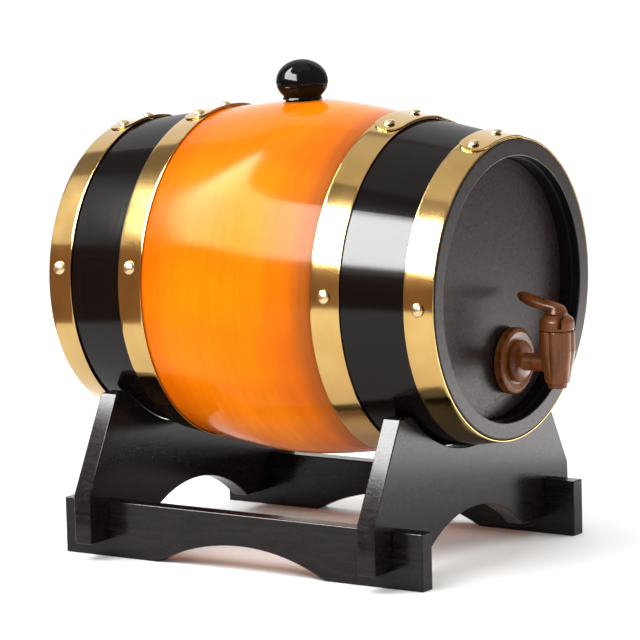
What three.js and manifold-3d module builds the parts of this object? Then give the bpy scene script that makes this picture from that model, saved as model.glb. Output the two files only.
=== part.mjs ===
// A small oak barrel for wine, lying on its stand. The barrel's axis runs along Y,
// the head with the tap faces -Y, and +Z is up. Lengths are in millimetres.
import * as THREE from 'three';
import { mergeVertices } from 'three/addons/utils/BufferGeometryUtils.js';
import Module from 'manifold-3d';

const wasm = await Module();
wasm.setup();

// ---- Driving dimensions ----

const FIT_GAP = 0.3; // clearance between pieces that touch
const CUT_MARGIN = 1; // how far a cutting solid runs past what it cuts

// Barrel
const BARREL_LENGTH = 257;
const BELLY_RADIUS = 100.7;
const END_RADIUS = 83.2;
const CROWN_SPAN = 22; // how sharply the staves turn at the belly
const STAVE_COUNT = 16;
const STAVE_THICKNESS = 9.5;
const CHIME_RADIUS = 73.9; // inside radius at the very end of the staves
const CHIME_DEPTH = 5;
const LEDGE_STEP = 1;
const CROZE_DEPTH = 2.5; // groove that holds the head
const HEAD_RECESS = 12;
const HEAD_THICKNESS = 8;
const HEAD_TONGUE = 3;
const LEDGE_BEHIND_HEAD = 1; // the ledge ends here
const SLOPE_BEHIND_HEAD = 6; // and the staves reach their full thickness here

// Hoops, the rivets of their laps and the nails that hold them
const HOOP_WIDTH = 17;
const HOOP_THICKNESS = 0.9;
const CHIME_HOOP_EDGE = 128; // distance of the outer edge from mid-length
const BILGE_HOOP_EDGE = 73.5;
const LAP_START = THREE.MathUtils.degToRad(-17.3);
const LAP_END = THREE.MathUtils.degToRad(10);
const LAP_RIVET_ANGLES = [THREE.MathUtils.degToRad(-12.3), THREE.MathUtils.degToRad(4)];
const RIVET_HEAD_RADIUS = 3.3;
const RIVET_HEAD_HEIGHT = 2;
const RIVET_SHANK_RADIUS = 1.5;
const NAIL_HEAD_RADIUS = 3.8;
const NAIL_HEAD_HEIGHT = 2.1;
const NAIL_LENGTH = 7;
const FASTENER_ROOM = 6; // height kept free over the staves where a fastener goes through
const DOME_STEPS = [1, 0.75, 0]; // shares of a fastener head's radius, from its rim to its crown

// Bung
const BUNG_OFFSET = 8; // behind mid-length
const BUNG_KNOB_RADIUS = 14.7;
const BUNG_KNOB_HEIGHT = 22.4;
const BUNG_KNOB_GIRTH = 0.45; // share of the knob's height where it is widest
const BUNG_CROWN_STEPS = [1, 0.9, 0.7, 0.4, 0]; // shares of the knob's radius
const BUNG_NECK_RADIUS = 10.7;
const BUNG_NECK_HEIGHT = 1.6;
const BUNG_SEAT_RADIUS = 11.3;
const BUNG_PLUG_TOP_RADIUS = 9.6;
const BUNG_PLUG_TIP_RADIUS = 8.4;
const BUNG_PLUG_LENGTH = 24;
const BUNG_DOWEL_RADIUS = 3.5;
const BUNG_DOWEL_LENGTH = 9;

// Tap
const TAP_SIDE_OFFSET = 13; // to the right of the barrel's axis
const TAP_DROP = 42.3; // below the barrel's axis
const TAP_REACH = 31.5; // from the head to the upright body's axis
const TAP_SEAL_THICKNESS = 1.2;
const TAP_SEAL_RADIUS = 16.5;
const TAP_FLANGE_RADIUS = 18.7;
const TAP_FLANGE_THICKNESS = 5;
const TAP_FLANGE_NOTCHES = 24;
const TAP_NOTCH_SIZE = 1.1;
const TAP_BOSS_RADIUS = 11.8;
const TAP_BOSS_THICKNESS = 4;
const TAP_SHANK_RADIUS = 4.9;
const TAP_STUD_RADIUS = 6;
const TAP_STUD_LENGTH = 15; // inside the barrel
const TAP_CHANNEL_RADIUS = 2.6;
const TAP_BODY_TOP = 19; // above the shank's axis
const TAP_BODY_BOTTOM = -10;
const TAP_NOZZLE_BOTTOM = -13.3;
const TAP_BODY_TOP_RADIUS = 10.1;
const TAP_BODY_BOTTOM_RADIUS = 7;
const TAP_NOZZLE_RADIUS = 5.6;
const TAP_BODY_STRAIGHT = 11; // height of the straight part at the body's top
const TAP_RIBS = 8;
const TAP_PLUG_RADIUS = 5;
const TAP_PLUG_FLOOR = 3; // thickness left under the key's bore
const TAP_NUT_RADIUS = 12;
const TAP_NUT_THICKNESS = 7;
const KEY_COLLAR_RADIUS = 9.8;
const KEY_COLLAR_HEIGHT = 8.9;
const KEY_SHOULDER_RADIUS = 8.2;
const KEY_CROWN_RADIUS = 5.4;
const KEY_SLOT_WIDTH = 1.8;
const KEY_SLOT_OFFSET = 5.5; // towards the front, from the key's axis
const HANDLE_LENGTH = 30;
const HANDLE_WIDTH = 12;
const HANDLE_THICKNESS = 7;
const HANDLE_TILT = THREE.MathUtils.degToRad(13);
const HANDLE_SHIFT = 9.7; // from the key's axis to the handle's middle, towards the barrel
const HANDLE_CLEARANCE = 0.2; // between the collar's top and the handle's underside
const PEG_RADIUS = 2;
const PEG_DEPTH = 5;

// Stand
const AXIS_HEIGHT = 154.5;
const RAIL_LENGTH = 240;
const RAIL_HEIGHT = 32;
const RAIL_THICKNESS = 10;
const RAIL_SPREAD = 164.6; // between the rails' middles
const RAIL_ARCH_SPAN = 112.8;
const RAIL_ARCH_RISE = 14.1;
const CRADLE_THICKNESS = 11;
const CRADLE_SPREAD = 190; // between the cradles' middles
const CRADLE_FOOT_WIDTH = 210;
const CRADLE_FOOT_BOTTOM = 9.9;
const CRADLE_FOOT_TOP = 37.7;
const CRADLE_TOP = 91.8;
const CRADLE_TOP_WIDTH = 151.6;
const CRADLE_ARCH_SPAN = 106;
const CRADLE_ARCH_RISE = 20.2;
const LAP_HEIGHT = 21; // where rail and cradle meet in their cross lap

// Roundness
const AROUND = 64;
const AROUND_SMALL = 14;
const AROUND_TINY = 8;
const STEPS_OUTSIDE = 8; // along a stave
const STEPS_INSIDE = 4;
const STEPS_ARCH = 14; // round a stand board's arch or saddle

// ---- Derived places ----

const HALF_LENGTH = BARREL_LENGTH / 2;
const HEAD_FACE = HALF_LENGTH - HEAD_RECESS;
const TAP_FRONT = -HEAD_FACE - TAP_REACH - TAP_BODY_TOP_RADIUS;
const CENTRE_SHIFT = -(HALF_LENGTH + TAP_FRONT) / 2; // puts the whole object's middle at Y = 0
const STAVE_ANGLE = 2 * Math.PI / STAVE_COUNT;
const PAST_BARREL = BELLY_RADIUS * 1.1; // beyond everything round the barrel

// ---- Materials ----

function finish(colour, roughness, metalness) {
  return new THREE.MeshStandardMaterial({ color: colour, roughness, metalness });
}

const oakLacquer = finish(0xf58a12, 0.12, 0);
const blackLacquer = finish(0x17130f, 0.15, 0);
const headStain = finish(0x4c4440, 0.45, 0);
const standStain = finish(0x2b2928, 0.4, 0);
const brass = finish(0xd9b060, 0.15, 1);
const tapPlastic = finish(0x8c4a26, 0.25, 0);
const rubber = finish(0x15110f, 0.8, 0);

// ---- Solid helpers ----

function toSolid(geometry) {
  const bare = geometry.clone();
  bare.deleteAttribute('normal');
  bare.deleteAttribute('uv');
  const merged = mergeVertices(bare, 1e-3);
  return new wasm.Manifold(new wasm.Mesh({
    numProp: 3,
    vertProperties: merged.attributes.position.array,
    triVerts: new Uint32Array(merged.index.array),
  }));
}

function toGeometry(solid) {
  const mesh = solid.getMesh();
  const geometry = new THREE.BufferGeometry();
  geometry.setAttribute('position', new THREE.BufferAttribute(mesh.vertProperties, 3));
  geometry.setIndex(new THREE.BufferAttribute(mesh.triVerts, 1));
  const faceted = geometry.toNonIndexed();
  faceted.computeVertexNormals();
  return faceted;
}

function subtractAll(solid, tools) {
  return tools.reduce((rest, tool) => rest.subtract(tool), solid);
}

// Turns a closed outline of [radius, height] points about the Y axis.
function revolve(outline, segments) {
  const points = outline.map(([radius, height]) => new THREE.Vector2(radius, height));
  return new THREE.LatheGeometry(points, segments);
}

// The same, standing up along Z.
function revolveUpright(outline, segments) {
  return revolve(outline, segments).rotateX(Math.PI / 2);
}

// Extrudes a shape drawn in X and Z along Y, centred on Y = 0.
function extrudeAlongY(shape, thickness, curveSegments) {
  const options = { depth: thickness, bevelEnabled: false, curveSegments };
  const geometry = new THREE.ExtrudeGeometry(shape, options);
  return geometry.translate(0, 0, -thickness / 2).rotateX(Math.PI / 2);
}

// Extrudes a shape drawn in Y and Z along X, centred on X = 0.
function extrudeAlongX(shape, thickness, curveSegments) {
  return extrudeAlongY(shape, thickness, curveSegments).rotateZ(Math.PI / 2);
}

function rod(radius, from, to, segments) {
  return revolve([[0, from], [radius, from], [radius, to], [0, to]], segments);
}

function uprightRod(radius, from, to, segments) {
  return rod(radius, from, to, segments).rotateX(Math.PI / 2);
}

function addMesh(group, name, solid, material) {
  const mesh = new THREE.Mesh(toGeometry(solid), material);
  mesh.name = name;
  group.add(mesh);
  return mesh;
}

// ---- Staves ----

// Outside radius of the staves at a distance from mid-length: a hyperbola, round at the
// belly and nearly straight towards the ends.
function staveRadius(y) {
  const turn = (distance) => Math.hypot(1, distance / CROWN_SPAN) - 1;
  return BELLY_RADIUS - (BELLY_RADIUS - END_RADIUS) * turn(y) / turn(HALF_LENGTH);
}

// Distances along the barrel whose steps follow the hyperbola's turning.
function stepsAlong(reach, count) {
  const limit = Math.asinh(reach / CROWN_SPAN);
  const step = (_, i) => CROWN_SPAN * Math.sinh(limit * (2 * i / count - 1));
  return Array.from({ length: count + 1 }, step);
}

// Inside of one end of the staves, from the end face to the croze groove and past it.
function endOutline() {
  const ledge = CHIME_RADIUS - LEDGE_STEP;
  const grooveMiddle = HEAD_FACE - HEAD_THICKNESS / 2;
  const grooveHalf = HEAD_TONGUE / 2 + FIT_GAP;
  return [
    [CHIME_RADIUS, HALF_LENGTH],
    [CHIME_RADIUS, HALF_LENGTH - CHIME_DEPTH],
    [ledge, HALF_LENGTH - CHIME_DEPTH],
    [ledge, grooveMiddle + grooveHalf],
    [ledge + CROZE_DEPTH, grooveMiddle + grooveHalf],
    [ledge + CROZE_DEPTH, grooveMiddle - grooveHalf],
    [ledge, grooveMiddle - grooveHalf],
    [ledge, HEAD_FACE - HEAD_THICKNESS - LEDGE_BEHIND_HEAD],
  ];
}

function shellOutline() {
  const outside = stepsAlong(HALF_LENGTH, STEPS_OUTSIDE).map((y) => [staveRadius(y), y]);
  const end = endOutline();
  const innerReach = HEAD_FACE - HEAD_THICKNESS - SLOPE_BEHIND_HEAD;
  const innerPoint = (y) => [staveRadius(y) - STAVE_THICKNESS, y];
  const inside = stepsAlong(innerReach, STEPS_INSIDE).map(innerPoint);
  const farEnd = end.map(([radius, y]) => [radius, -y]).reverse();
  const loop = [...outside, ...end, ...inside.reverse(), ...farEnd];
  return [...loop, loop[0]];
}

// Wedge that one stave fills, centred on the top of the barrel, with a hairline left each side.
function staveWedge() {
  const halfAngle = STAVE_ANGLE / 2;
  const halfWidth = Math.tan(halfAngle) * PAST_BARREL - FIT_GAP / 2 / Math.cos(halfAngle);
  const apex = FIT_GAP / 2 / Math.sin(halfAngle);
  const wedge = new THREE.Shape();
  wedge.moveTo(0, apex);
  wedge.lineTo(halfWidth, PAST_BARREL);
  wedge.lineTo(-halfWidth, PAST_BARREL);
  wedge.closePath();
  return toSolid(extrudeAlongY(wedge, BARREL_LENGTH + 2 * CUT_MARGIN, 1));
}

function bungHole() {
  const surface = staveRadius(BUNG_OFFSET);
  const sill = surface - BUNG_PLUG_LENGTH;
  const top = BELLY_RADIUS + CUT_MARGIN;
  const slope = (BUNG_PLUG_TOP_RADIUS - BUNG_PLUG_TIP_RADIUS) / BUNG_PLUG_LENGTH;
  const topRadius = BUNG_PLUG_TOP_RADIUS + slope * (top - surface) + FIT_GAP;
  const outline = [[0, sill], [BUNG_PLUG_TIP_RADIUS + FIT_GAP, sill], [topRadius, top], [0, top]];
  return toSolid(revolveUpright(outline, AROUND_SMALL).translate(0, BUNG_OFFSET, 0));
}

// A nail's hole in the stave starts at the stave's surface, under each hoop.
function nailHoles(side) {
  return hoops().map(({ middle, nailAngles }) => fastenerHole(nailAngles[side], middle, -NAIL_LENGTH));
}

function addStaves(barrel) {
  const plain = toSolid(revolve(shellOutline(), AROUND)).intersect(staveWedge());
  for (let i = 0; i < STAVE_COUNT; i += 1) {
    const angle = i * STAVE_ANGLE;
    let stave = plain.rotate([0, THREE.MathUtils.radToDeg(angle), 0]);
    if (i === 0) stave = stave.subtract(bungHole());
    if (i === STAVE_COUNT / 4) stave = subtractAll(stave, nailHoles('right'));
    if (i === STAVE_COUNT * 3 / 4) stave = subtractAll(stave, nailHoles('left'));
    addMesh(barrel, `stave_${String(i + 1).padStart(2, '0')}`, stave, oakLacquer);
  }
}

// ---- Heads ----

function headSolid() {
  const face = CHIME_RADIUS - LEDGE_STEP - FIT_GAP;
  const rim = face + CROZE_DEPTH;
  const tongue = HEAD_TONGUE / 2;
  const half = HEAD_THICKNESS / 2;
  return toSolid(revolve([
    [0, -half], [face, -half], [face, -tongue], [rim, -tongue],
    [rim, tongue], [face, tongue], [face, half], [0, half],
  ], AROUND));
}

function addHeads(barrel) {
  const middle = HEAD_FACE - HEAD_THICKNESS / 2;
  const tapHole = toSolid(rod(TAP_STUD_RADIUS + FIT_GAP, -HALF_LENGTH, 0, AROUND_SMALL)
    .translate(TAP_SIDE_OFFSET, 0, -TAP_DROP));
  const front = headSolid().translate([0, -middle, 0]).subtract(tapHole);
  addMesh(barrel, 'front_head', front, headStain);
  addMesh(barrel, 'rear_head', headSolid().translate([0, middle, 0]), headStain);
}

// ---- Hoops ----

function hoops() {
  const chime = CHIME_HOOP_EDGE - HOOP_WIDTH / 2;
  const bilge = BILGE_HOOP_EDGE - HOOP_WIDTH / 2;
  return [
    hoop('front_chime', -chime, -4, 0),
    hoop('front_bilge', -bilge, -2, 3),
    hoop('rear_bilge', bilge, -0.5, 8),
    hoop('rear_chime', chime, -0.5, 6),
  ];
}

// Each hoop is driven on by hand, so its lap and its left nail are some degrees off the top and the side.
function hoop(name, middle, lapDegrees, nailDegrees) {
  const lapTurn = THREE.MathUtils.degToRad(lapDegrees);
  const left = THREE.MathUtils.degToRad(nailDegrees) - Math.PI / 2;
  return { name, middle, lapTurn, nailAngles: { left, right: Math.PI / 2 } };
}

// A band that follows the staves between two heights above their surface.
function band(middle, low, high) {
  const near = middle - HOOP_WIDTH / 2;
  const far = middle + HOOP_WIDTH / 2;
  const corner = (height, y) => [staveRadius(y) + height, y];
  const loop = [corner(high, near), corner(high, far), corner(low, far), corner(low, near)];
  return toSolid(revolve([...loop, loop[0]], AROUND));
}

// Upright prism over the lap: its end towards -X is round, as the strip's end is.
function lapPrism(middle, turn) {
  const radius = staveRadius(middle);
  const start = radius * Math.sin(LAP_START);
  const end = radius * Math.sin(LAP_END);
  const half = HOOP_WIDTH / 2 + CUT_MARGIN;
  const shape = new THREE.Shape();
  shape.moveTo(end, -half);
  shape.lineTo(end, half);
  shape.lineTo(start + half, half);
  shape.quadraticCurveTo(start, half, start, 0);
  shape.quadraticCurveTo(start, -half, start + half, -half);
  shape.closePath();
  const options = { depth: PAST_BARREL, bevelEnabled: false, curveSegments: 6 };
  const prism = new THREE.ExtrudeGeometry(shape, options);
  return toSolid(prism.translate(0, middle, 0).rotateY(turn));
}

// Stands a turned piece square on the staves, at an angle from the top towards +X.
function standOnStaves(geometry, angle, middle) {
  const rise = staveRadius(middle + HOOP_WIDTH / 2) - staveRadius(middle - HOOP_WIDTH / 2);
  const slope = Math.atan(rise / HOOP_WIDTH);
  const atTop = geometry.rotateX(Math.PI / 2 + slope).translate(0, middle, staveRadius(middle));
  return toSolid(atTop.rotateY(angle));
}

function fastenerHole(angle, middle, depth) {
  const hole = rod(RIVET_SHANK_RADIUS + FIT_GAP, depth, FASTENER_ROOM, AROUND_TINY);
  return standOnStaves(hole, angle, middle);
}

// Rivet or nail: a shank from its tip up to the seat, and a domed head on the seat.
function domeOutline(headRadius, headHeight, seat, tip) {
  const crown = DOME_STEPS.map((share) => [
    headRadius * share,
    seat + headHeight * Math.sqrt(1 - share * share),
  ]);
  return [[0, tip], [RIVET_SHANK_RADIUS, tip], [RIVET_SHANK_RADIUS, seat], ...crown];
}

function addHoops(barrel) {
  const top = HOOP_THICKNESS + FIT_GAP;
  for (const { name, middle, lapTurn, nailAngles } of hoops()) {
    const lap = band(middle, FIT_GAP * 2, top + HOOP_THICKNESS).intersect(lapPrism(middle, lapTurn));
    const rivetAngles = LAP_RIVET_ANGLES.map((angle) => angle + lapTurn);
    const holeAngles = [...rivetAngles, ...Object.values(nailAngles)];
    const holes = holeAngles.map((angle) => fastenerHole(angle, middle, 0));
    const strip = subtractAll(band(middle, FIT_GAP, top).add(lap), holes);
    addMesh(barrel, `${name}_hoop`, strip, brass);

    const rivetSeat = top + HOOP_THICKNESS + FIT_GAP;
    const rivet = domeOutline(RIVET_HEAD_RADIUS, RIVET_HEAD_HEIGHT, rivetSeat, FIT_GAP * 2);
    rivetAngles.forEach((angle, i) => {
      const solid = standOnStaves(revolve(rivet, AROUND_TINY), angle, middle);
      addMesh(barrel, `${name}_rivet_${i + 1}`, solid, brass);
    });

    const nail = domeOutline(NAIL_HEAD_RADIUS, NAIL_HEAD_HEIGHT, top + FIT_GAP, FIT_GAP - NAIL_LENGTH);
    for (const [side, angle] of Object.entries(nailAngles)) {
      const solid = standOnStaves(revolve(nail, AROUND_TINY), angle, middle);
      addMesh(barrel, `${name}_nail_${side}`, solid, brass);
    }
  }
}

// ---- Bung ----

function addBung(barrel) {
  const seat = BELLY_RADIUS + FIT_GAP;
  const surface = staveRadius(BUNG_OFFSET);
  const bung = new THREE.Group();
  bung.position.set(0, BUNG_OFFSET, 0);
  barrel.add(bung);

  const girth = seat + BUNG_KNOB_HEIGHT * BUNG_KNOB_GIRTH;
  const crown = BUNG_CROWN_STEPS.map((share) => [
    BUNG_KNOB_RADIUS * share,
    girth + (seat + BUNG_KNOB_HEIGHT - girth) * Math.sqrt(1 - share * share),
  ]);
  const neck = seat + BUNG_NECK_HEIGHT;
  const flare = [(BUNG_NECK_RADIUS + 2 * BUNG_KNOB_RADIUS) / 3, (neck + girth) / 2];
  const knob = toSolid(revolveUpright([
    [0, seat], [BUNG_SEAT_RADIUS, seat], [BUNG_NECK_RADIUS, neck], flare, ...crown,
  ], AROUND_SMALL * 2));
  const dowelTop = seat + BUNG_DOWEL_LENGTH;
  const socketRadius = BUNG_DOWEL_RADIUS + FIT_GAP;
  const socket = uprightRod(socketRadius, seat - CUT_MARGIN, dowelTop + FIT_GAP, AROUND_TINY);
  addMesh(bung, 'bung_knob', knob.subtract(toSolid(socket)), blackLacquer);

  const plug = toSolid(revolveUpright([
    [0, surface - BUNG_PLUG_LENGTH], [BUNG_PLUG_TIP_RADIUS, surface - BUNG_PLUG_LENGTH],
    [BUNG_PLUG_TOP_RADIUS, seat - FIT_GAP], [BUNG_DOWEL_RADIUS, seat - FIT_GAP],
    [BUNG_DOWEL_RADIUS, dowelTop], [0, dowelTop],
  ], AROUND_SMALL));
  addMesh(bung, 'bung_plug', plug, blackLacquer);
}

// ---- Tap ----

// The tap's own frame: Y = 0 on the head's face, with the tap standing towards -Y,
// and Z = 0 on the shank's axis.
function addTap(barrel) {
  const tap = new THREE.Group();
  tap.position.set(TAP_SIDE_OFFSET, -HEAD_FACE, -TAP_DROP);
  barrel.add(tap);

  const flangeBack = -TAP_SEAL_THICKNESS - 2 * FIT_GAP;
  const flangeFront = flangeBack - TAP_FLANGE_THICKNESS;
  const bossBack = flangeFront - FIT_GAP;
  const bossFront = bossBack - TAP_BOSS_THICKNESS;
  const bore = TAP_STUD_RADIUS + FIT_GAP;

  addMesh(tap, 'tap_outer_seal', washer(TAP_SEAL_RADIUS, bore, flangeBack + FIT_GAP, -FIT_GAP), rubber);
  addMesh(tap, 'tap_flange', flangeSolid(bore, flangeFront, flangeBack), tapPlastic);

  const innerFace = HEAD_THICKNESS + FIT_GAP;
  const sealEnd = innerFace + TAP_SEAL_THICKNESS;
  addMesh(tap, 'tap_inner_seal', washer(TAP_NUT_RADIUS, bore, innerFace, sealEnd), rubber);
  const nutStart = sealEnd + FIT_GAP;
  const nutEnd = nutStart + TAP_NUT_THICKNESS;
  const nut = toSolid(rod(TAP_NUT_RADIUS, nutStart, nutEnd, 6));
  const nutBore = toSolid(rod(bore, nutStart - CUT_MARGIN, nutEnd + CUT_MARGIN, AROUND_SMALL));
  addMesh(tap, 'tap_nut', nut.subtract(nutBore), tapPlastic);

  addMesh(tap, 'tap_body', tapBody(bossFront, bossBack), tapPlastic);
  addTapKey(tap);
}

function washer(outer, inner, from, to) {
  const loop = [[inner, from], [outer, from], [outer, to], [inner, to], [inner, from]];
  return toSolid(revolve(loop, AROUND_SMALL * 2));
}

function flangeSolid(bore, front, back) {
  const notch = new THREE.BoxGeometry(TAP_NOTCH_SIZE, TAP_FLANGE_THICKNESS * 3, TAP_NOTCH_SIZE)
    .rotateY(Math.PI / 4)
    .translate(TAP_FLANGE_RADIUS, front, 0);
  const notches = Array.from({ length: TAP_FLANGE_NOTCHES }, (_, i) => (
    toSolid(notch.clone().rotateY(2 * Math.PI * i / TAP_FLANGE_NOTCHES))
  ));
  return subtractAll(washer(TAP_FLANGE_RADIUS, bore, front, back), notches);
}

// Boss, shank, upright body and nozzle in one piece, bored for the key and for the wine.
function tapBody(bossFront, bossBack) {
  const bossEdge = TAP_BOSS_THICKNESS * 0.6; // the boss is rounded off over this much
  const studEnd = HEAD_THICKNESS + TAP_STUD_LENGTH;
  const boreFoot = TAP_BODY_BOTTOM + TAP_PLUG_FLOOR;
  const stem = toSolid(revolve([
    [0, -TAP_REACH], [TAP_SHANK_RADIUS, -TAP_REACH], [TAP_SHANK_RADIUS, bossFront],
    [TAP_BOSS_RADIUS - bossEdge, bossFront], [TAP_BOSS_RADIUS, bossFront + bossEdge],
    [TAP_BOSS_RADIUS, bossBack], [TAP_STUD_RADIUS, bossBack], [TAP_STUD_RADIUS, studEnd], [0, studEnd],
  ], AROUND_SMALL));
  const upright = toSolid(revolveUpright([
    [0, TAP_NOZZLE_BOTTOM], [TAP_NOZZLE_RADIUS, TAP_NOZZLE_BOTTOM],
    [TAP_NOZZLE_RADIUS, TAP_BODY_BOTTOM], [TAP_BODY_BOTTOM_RADIUS, TAP_BODY_BOTTOM],
    [TAP_BODY_TOP_RADIUS, TAP_BODY_TOP - TAP_BODY_STRAIGHT],
    [TAP_BODY_TOP_RADIUS, TAP_BODY_TOP], [0, TAP_BODY_TOP],
  ], TAP_RIBS * 2).translate(0, -TAP_REACH, 0));
  const boreTop = TAP_BODY_TOP + CUT_MARGIN;
  const keyBore = uprightRod(TAP_PLUG_RADIUS + FIT_GAP, boreFoot, boreTop, AROUND_SMALL);
  const nozzle = uprightRod(TAP_CHANNEL_RADIUS, TAP_NOZZLE_BOTTOM - CUT_MARGIN, 0, AROUND_TINY);
  const channel = rod(TAP_CHANNEL_RADIUS, -TAP_REACH, studEnd + CUT_MARGIN, AROUND_TINY);
  return subtractAll(stem.add(upright), [
    toSolid(keyBore.translate(0, -TAP_REACH, 0)),
    toSolid(nozzle.translate(0, -TAP_REACH, 0)),
    toSolid(channel),
  ]);
}

// The key turns in the body. Its cross hole meets the channel when the handle is turned a quarter.
function addTapKey(tap) {
  const foot = TAP_BODY_TOP + FIT_GAP;
  const crown = foot + KEY_COLLAR_HEIGHT;
  const plugTip = TAP_BODY_BOTTOM + TAP_PLUG_FLOOR + FIT_GAP;
  const collar = toSolid(revolveUpright([
    [0, plugTip], [TAP_PLUG_RADIUS, plugTip], [TAP_PLUG_RADIUS, foot],
    [KEY_COLLAR_RADIUS, foot], [KEY_COLLAR_RADIUS, foot + KEY_COLLAR_HEIGHT / 2],
    [KEY_SHOULDER_RADIUS, crown - (KEY_COLLAR_RADIUS - KEY_SHOULDER_RADIUS)],
    [KEY_CROWN_RADIUS, crown], [0, crown],
  ], AROUND_SMALL));
  const slot = new THREE.BoxGeometry(KEY_COLLAR_RADIUS * 3, KEY_SLOT_WIDTH, KEY_COLLAR_HEIGHT)
    .translate(0, -KEY_SLOT_OFFSET, crown);
  const crossHole = rod(TAP_CHANNEL_RADIUS, -TAP_PLUG_RADIUS * 2, TAP_PLUG_RADIUS * 2, AROUND_TINY)
    .rotateZ(Math.PI / 2);
  const drain = uprightRod(TAP_CHANNEL_RADIUS, plugTip - CUT_MARGIN, 0, AROUND_TINY);
  const pegFoot = crown - PEG_DEPTH;
  const pegHole = uprightRod(PEG_RADIUS + FIT_GAP, pegFoot - FIT_GAP, crown + CUT_MARGIN, AROUND_TINY);
  const key = subtractAll(collar, [slot, crossHole, drain, pegHole].map(toSolid));
  addMesh(tap, 'tap_key', key.translate([0, -TAP_REACH, 0]), tapPlastic);

  const handleHeight = crown + HANDLE_THICKNESS / 2 + HANDLE_CLEARANCE;
  const paddle = new THREE.SphereGeometry(0.5, AROUND_SMALL, AROUND_TINY)
    .scale(HANDLE_WIDTH, HANDLE_LENGTH, HANDLE_THICKNESS)
    .translate(0, HANDLE_SHIFT, 0)
    .rotateX(HANDLE_TILT)
    .translate(0, 0, handleHeight);
  // Everything of the paddle that would sink into the key's crown is taken off it.
  const belowCrown = new THREE.BoxGeometry(2 * HANDLE_WIDTH, 2 * HANDLE_LENGTH, HANDLE_WIDTH)
    .translate(0, 0, crown + FIT_GAP - HANDLE_WIDTH / 2);
  const peg = toSolid(uprightRod(PEG_RADIUS, pegFoot, handleHeight, AROUND_TINY));
  const handle = toSolid(paddle).subtract(toSolid(belowCrown)).add(peg);
  addMesh(tap, 'tap_handle', handle.translate([0, -TAP_REACH, 0]), tapPlastic);
}

// ---- Stand ----

// Part of a circle through (-span/2, base), (0, base + rise) and (span/2, base).
function archCircle(span, rise, base) {
  const radius = (span * span / 4 + rise * rise) / (2 * rise);
  return { radius, centre: base + rise - radius, sweep: Math.asin(span / 2 / radius) };
}

function railShape() {
  const half = RAIL_LENGTH / 2;
  const arch = archCircle(RAIL_ARCH_SPAN, RAIL_ARCH_RISE, 0);
  const shape = new THREE.Shape();
  shape.moveTo(-half, 0);
  shape.lineTo(-RAIL_ARCH_SPAN / 2, 0);
  shape.absarc(0, arch.centre, arch.radius, Math.PI / 2 + arch.sweep, Math.PI / 2 - arch.sweep, true);
  shape.lineTo(half, 0);
  shape.lineTo(half, RAIL_HEIGHT);
  for (const side of [1, -1]) {
    const near = side * CRADLE_SPREAD / 2 + CRADLE_THICKNESS / 2 + FIT_GAP;
    const far = near - CRADLE_THICKNESS - 2 * FIT_GAP;
    shape.lineTo(near, RAIL_HEIGHT);
    shape.lineTo(near, LAP_HEIGHT);
    shape.lineTo(far, LAP_HEIGHT);
    shape.lineTo(far, RAIL_HEIGHT);
  }
  shape.lineTo(-half, RAIL_HEIGHT);
  shape.closePath();
  return shape;
}

function saddleRadius() {
  return staveRadius(CRADLE_SPREAD / 2 - CRADLE_THICKNESS / 2) + FIT_GAP;
}

function cradleShape() {
  const foot = CRADLE_FOOT_WIDTH / 2;
  const top = CRADLE_TOP_WIDTH / 2;
  const arch = archCircle(CRADLE_ARCH_SPAN, CRADLE_ARCH_RISE, CRADLE_FOOT_BOTTOM);
  const saddle = saddleRadius();
  const lip = Math.asin((AXIS_HEIGHT - CRADLE_TOP) / saddle);
  const notchTop = LAP_HEIGHT + FIT_GAP;
  const shape = new THREE.Shape();
  shape.moveTo(foot, CRADLE_FOOT_BOTTOM);
  shape.lineTo(foot, CRADLE_FOOT_TOP);
  shape.lineTo(top, CRADLE_TOP);
  shape.absarc(0, AXIS_HEIGHT, saddle, -lip, -Math.PI + lip, true);
  shape.lineTo(-top, CRADLE_TOP);
  shape.lineTo(-foot, CRADLE_FOOT_TOP);
  shape.lineTo(-foot, CRADLE_FOOT_BOTTOM);
  addFootNotch(shape, -RAIL_SPREAD / 2, notchTop);
  shape.lineTo(-CRADLE_ARCH_SPAN / 2, CRADLE_FOOT_BOTTOM);
  shape.absarc(0, arch.centre, arch.radius, Math.PI / 2 + arch.sweep, Math.PI / 2 - arch.sweep, true);
  addFootNotch(shape, RAIL_SPREAD / 2, notchTop);
  shape.closePath();
  return shape;
}

function addFootNotch(shape, middle, notchTop) {
  const half = RAIL_THICKNESS / 2 + FIT_GAP;
  shape.lineTo(middle - half, CRADLE_FOOT_BOTTOM);
  shape.lineTo(middle - half, notchTop);
  shape.lineTo(middle + half, notchTop);
  shape.lineTo(middle + half, CRADLE_FOOT_BOTTOM);
}

function addStand(stand) {
  const cradle = toSolid(extrudeAlongY(cradleShape(), CRADLE_THICKNESS, STEPS_ARCH));
  addMesh(stand, 'front_cradle', cradle, standStain).position.y = -CRADLE_SPREAD / 2;
  addMesh(stand, 'rear_cradle', cradle, standStain).position.y = CRADLE_SPREAD / 2;
  const rail = toSolid(extrudeAlongX(railShape(), RAIL_THICKNESS, STEPS_ARCH));
  addMesh(stand, 'left_rail', rail, standStain).position.x = -RAIL_SPREAD / 2;
  addMesh(stand, 'right_rail', rail, standStain).position.x = RAIL_SPREAD / 2;
}

// ---- Assembly ----

const barrelOnStand = new THREE.Group();

const stand = new THREE.Group();
stand.position.set(0, CENTRE_SHIFT, 0);
addStand(stand);
barrelOnStand.add(stand);

const barrel = new THREE.Group();
barrel.position.set(0, CENTRE_SHIFT, AXIS_HEIGHT);
addStaves(barrel);
addHeads(barrel);
addHoops(barrel);
addBung(barrel);
addTap(barrel);
barrelOnStand.add(barrel);

export default barrelOnStand;
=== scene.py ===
from math import asin, asinh, atan, atan2, cos, hypot, pi, radians, sin, sinh, sqrt, tan

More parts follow.
